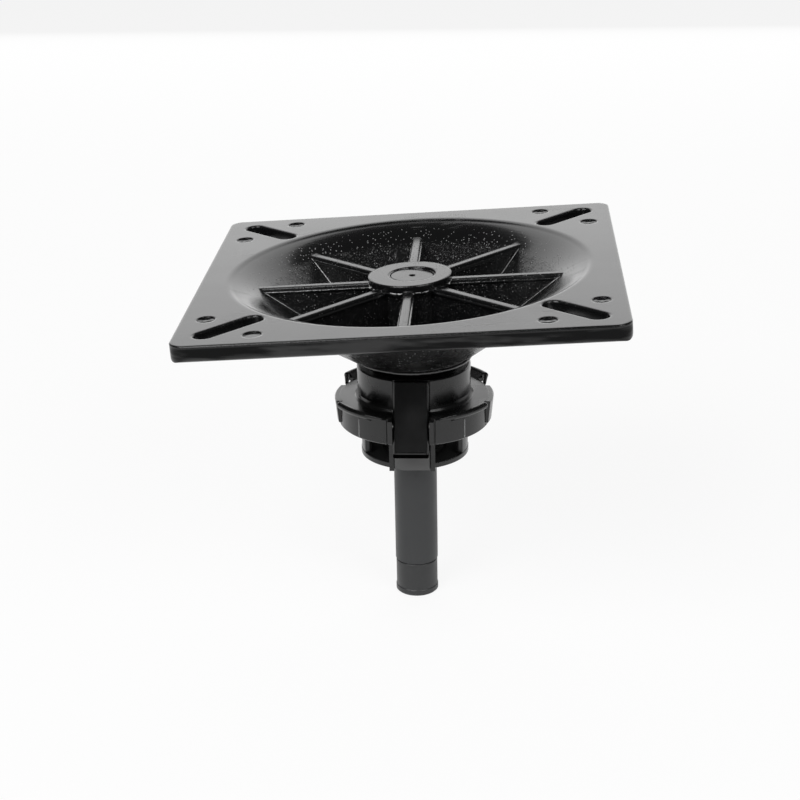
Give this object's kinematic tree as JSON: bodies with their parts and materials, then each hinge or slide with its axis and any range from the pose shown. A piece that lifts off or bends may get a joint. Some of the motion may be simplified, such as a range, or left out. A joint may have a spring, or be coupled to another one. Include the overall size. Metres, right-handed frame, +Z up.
{
  "type": "swivel seat base",
  "caption": "Square pitched seat plate with a ribbed bowl on a vertical king pin, turning in a moulded pedestal collar with a release lever.",
  "frame": {"origin": "centre of the plane in which the collar rests on the pedestal tube's end, on the king pin's axis", "axes": "+Z up along the king pin, +X towards the raised front of the seat plate, -Y towards the release lever"},
  "size_m": [0.1779, 0.178, 0.1569],
  "materials": {
    "casting": "gloss black paint on a rough casting",
    "pin_steel": "satin dark plated steel",
    "spring_steel": "bare spring steel",
    "end_bush_plastic": "satin dark grey",
    "bearing_plastic": "satin black",
    "collar_plastic": "gloss black",
    "cage_plastic": "gloss black",
    "lever_plastic": "gloss black",
    "zinc_steel": "zinc plated"
  },
  "bodies": {
    "collar": {"collar_housing": "collar_plastic", "collar_cage": "cage_plastic", "cage_screws": "zinc_steel", "upper_bush": "bearing_plastic", "lower_bush": "bearing_plastic", "lever_pivot_pin": "zinc_steel", "lever_spring": "spring_steel"},
    "seat": {"seat_plate": "casting", "swivel_pin": "pin_steel", "hub_roll_pin": "spring_steel", "pin_end_bush": "end_bush_plastic", "thrust_washer": "bearing_plastic"},
    "lever": {"release_lever": "lever_plastic", "latch_tooth": "zinc_steel"}
  },
  "joints": [
    {"name": "seat_swivel", "type": "hinge", "parent": "collar", "child": "seat", "pos_m": [0, 0, 0], "axis": [0, 0, 1], "continuous": true},
    {"name": "lever_press", "type": "hinge", "parent": "collar", "child": "lever", "pos_m": [0, -0.0286, -0.001], "axis": [-1, 0, 0], "range_deg": [0, 6], "stiffness_Nm_per_rad": 0.3, "springref_deg": -11.46, "deforming": ["lever_spring"]}
  ]
}
